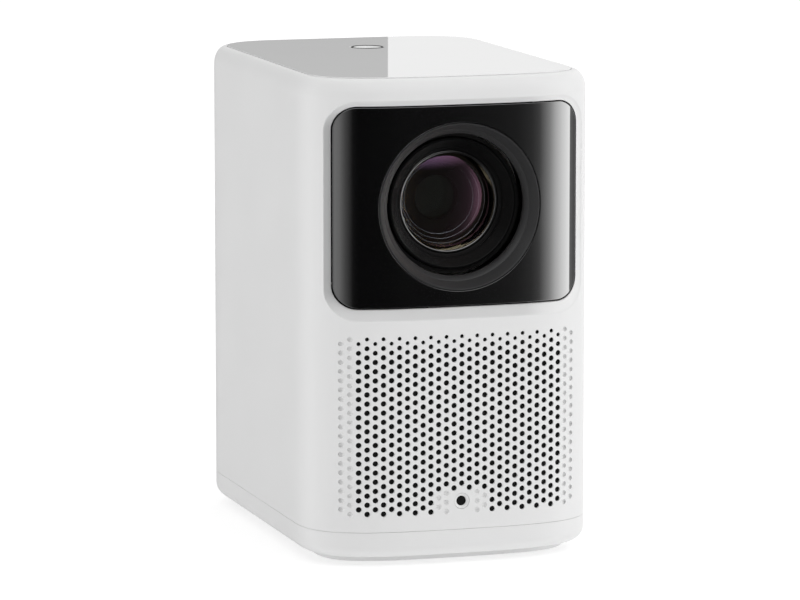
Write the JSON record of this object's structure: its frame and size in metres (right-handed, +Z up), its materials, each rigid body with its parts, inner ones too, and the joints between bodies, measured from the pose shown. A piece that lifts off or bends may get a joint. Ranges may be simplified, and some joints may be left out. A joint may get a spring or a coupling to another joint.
{
  "type": "home projector",
  "caption": "Upright home projector: white rounded casing, black gloss window with a deep lens, perforated front, flush top button, motor focus, fan and rear ports.",
  "frame": {"origin": "middle of the footprint, on the surface the projector stands on", "axes": "+Z up, the lens looks along -Y, +X is to the right seen from the front"},
  "size_m": [0.1298, 0.192, 0.2112],
  "materials": {
    "shell_white": "fine satin moulded white",
    "gloss_white": "polished white",
    "window_black": "piano black, mirror gloss",
    "black_plastic": "fine spark-eroded black",
    "foot_rubber": "matte",
    "steel": "bright pressed steel",
    "brass": "turned",
    "coated_glass": "polished, purple and green anti-reflection coating",
    "clear_glass": "polished",
    "acetal_white": "satin",
    "ceramic_white": "satin white board",
    "aluminium": "extruded and milled",
    "cone_paper": "pulp paper",
    "board_green": "solder mask",
    "winding_tape": "polyester tape",
    "can_sleeve": "shrink sleeve",
    "filter_foam": "open foam"
  },
  "bodies": {
    "casing": {"body_shell": "shell_white", "top_plate": "gloss_white", "base_tray": "shell_white", "foot_plate": "shell_white", "rubber_foot_1": "foot_rubber", "rubber_foot_2": "foot_rubber", "rubber_foot_3": "foot_rubber", "rubber_foot_4": "foot_rubber", "base_screw_1": "steel", "base_screw_2": "steel", "base_screw_3": "steel", "base_screw_4": "steel", "tripod_insert": "brass", "rear_cover": "shell_white", "window_panel": "window_black", "lens_bezel": "black_plastic", "lens_housing": "black_plastic", "focus_motor": "steel", "engine_housing": "black_plastic", "field_lens": "clear_glass", "lcd_panel": "coated_glass", "collimator_lens": "clear_glass", "condenser_lens": "clear_glass", "led_board": "ceramic_white", "led_heatsink": "aluminium", "fan_frame": "black_plastic", "speaker_enclosure": "black_plastic", "speaker_frame_left": "steel", "speaker_magnet_left": "steel", "speaker_frame_right": "steel", "speaker_magnet_right": "steel", "inner_frame": "aluminium", "main_board": "board_green", "processor_heatsink": "aluminium", "power_board": "board_green", "transformer": "winding_tape", "bulk_capacitor": "can_sleeve", "dust_filter": "filter_foam", "hdmi_socket": "steel", "usb_socket": "steel", "headphone_socket": "black_plastic", "mains_inlet": "black_plastic", "sensor_bezel": "black_plastic", "camera_lens": "coated_glass", "camera_module": "black_plastic", "button_light_ring": "black_plastic", "button_board": "board_green"},
    "focus_group": {"focus_tube": "black_plastic", "front_element": "coated_glass", "aperture_ring": "black_plastic", "middle_element": "coated_glass", "rear_element": "coated_glass"},
    "focus_drive_ring": {"focus_ring": "acetal_white"},
    "focus_drive_pinion": {"focus_pinion": "brass"},
    "fan": {"fan_rotor": "black_plastic"},
    "cone_left": {"speaker_cone_left": "cone_paper"},
    "cone_right": {"speaker_cone_right": "cone_paper"},
    "button": {"power_button": "gloss_white"}
  },
  "joints": [
    {"name": "focus_ring_turn", "type": "hinge", "parent": "casing", "child": "focus_drive_ring", "pos_m": [0, -0.065, 0.1552], "axis": [0, 1, 0], "range_deg": [-25.2, 25.2]},
    {"name": "focus_slide", "type": "slide", "parent": "casing", "child": "focus_group", "axis": [0, -1, 0], "range_m": [-0.0014, 0.0014]},
    {"name": "focus_pinion_spin", "type": "hinge", "parent": "casing", "child": "focus_drive_pinion", "pos_m": [-0.03076, -0.065, 0.12444], "axis": [0, 1, 0], "range_deg": [-121, 121]},
    {"name": "fan_spin", "type": "hinge", "parent": "casing", "child": "fan", "pos_m": [0, 0.08, 0.1552], "axis": [0, 1, 0], "continuous": true},
    {"name": "cone_left_slide", "type": "slide", "parent": "casing", "child": "cone_left", "axis": [0, -1, 0], "range_m": [-0.0008, 0.0008], "stiffness_N_per_m": 500},
    {"name": "cone_right_slide", "type": "slide", "parent": "casing", "child": "cone_right", "axis": [0, -1, 0], "range_m": [-0.0008, 0.0008], "stiffness_N_per_m": 500},
    {"name": "power_button_press", "type": "slide", "parent": "casing", "child": "button", "axis": [0, 0, -1], "range_m": [0, 0.0008], "stiffness_N_per_m": 500, "springref_m": -0.0006}
  ],
  "couplings": [
    {"joint": "focus_ring_turn", "follows": "focus_slide", "rad_per_m": 312.5},
    {"joint": "focus_pinion_spin", "follows": "focus_slide", "rad_per_m": -1500}
  ]
}
